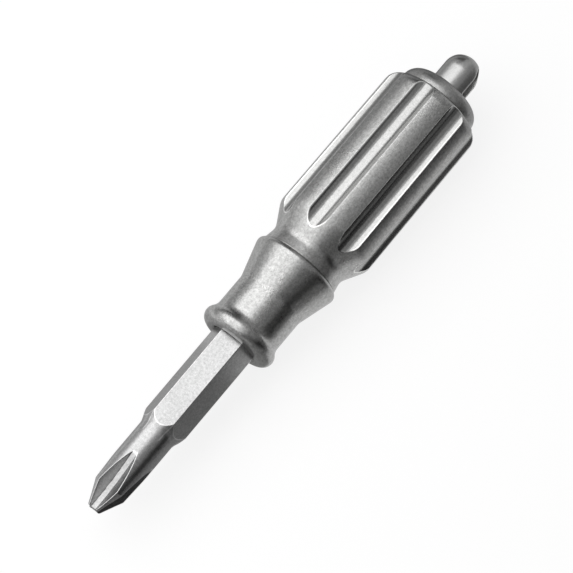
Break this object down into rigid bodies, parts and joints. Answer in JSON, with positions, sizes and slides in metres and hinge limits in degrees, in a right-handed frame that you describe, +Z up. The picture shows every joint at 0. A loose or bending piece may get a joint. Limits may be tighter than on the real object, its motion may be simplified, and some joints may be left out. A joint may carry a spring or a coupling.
{
  "type": "precision screwdriver",
  "caption": "Pocket screwdriver with a fluted steel grip, a turned nose that holds a hexagon-shank cross-point bit, an unscrewing end cap and a swivel eye for a key ring.",
  "frame": {"origin": "centre of the hexagon socket's mouth, on the tool's axis", "axes": "+X along the tool's axis to the bit's tip, +Z up through one of the grip's flutes, +Y to the tool's left as seen from its grip"},
  "size_m": [0.0864, 0.0158, 0.0158],
  "materials": {
    "bit_steel": "ground tool steel, satin",
    "nose_steel": "bead-blasted stainless steel",
    "magnet_plating": "nickel-plated disc",
    "backing_steel": "plain punched steel",
    "seal_rubber": "matt black rubber",
    "grip_steel": "bead-blasted stainless steel",
    "cushion_rubber": "soft grey silicone",
    "spare_steel": "ground tool steel",
    "cap_steel": "bead-blasted stainless steel",
    "washer_bronze": "rolled bronze",
    "eye_steel": "satin stainless steel",
    "collar_steel": "turned steel"
  },
  "bodies": {
    "handle": {"nose_holder": "nose_steel", "socket_magnet": "magnet_plating", "magnet_backing": "backing_steel", "nose_o_ring": "seal_rubber", "grip_body": "grip_steel", "bit_cushion": "cushion_rubber", "spare_bit": "spare_steel"},
    "bit": {"driver_bit": "bit_steel"},
    "cap_seal": {"cap_o_ring": "seal_rubber"},
    "cap": {"end_cap": "cap_steel", "thrust_washer": "washer_bronze"},
    "eye": {"eye_post": "eye_steel", "post_collar": "collar_steel"}
  },
  "joints": [
    {"name": "bit_pull", "type": "slide", "parent": "handle", "child": "bit", "axis": [1, 0, 0], "range_m": [0, 0.02]},
    {"name": "cap_travel", "type": "slide", "parent": "handle", "child": "cap_seal", "axis": [-1, 0, 0], "range_m": [0, 0.00401]},
    {"name": "cap_turn", "type": "hinge", "parent": "cap_seal", "child": "cap", "pos_m": [-0.0466, 0, 0], "axis": [-1, 0, 0], "range_deg": [0, 1440]},
    {"name": "eye_swivel", "type": "hinge", "parent": "cap", "child": "eye", "pos_m": [-0.0491, 0, 0], "axis": [-1, 0, 0], "continuous": true}
  ],
  "couplings": [
    {"joint": "cap_travel", "follows": "cap_turn", "m_per_rad": 0.00015915}
  ]
}
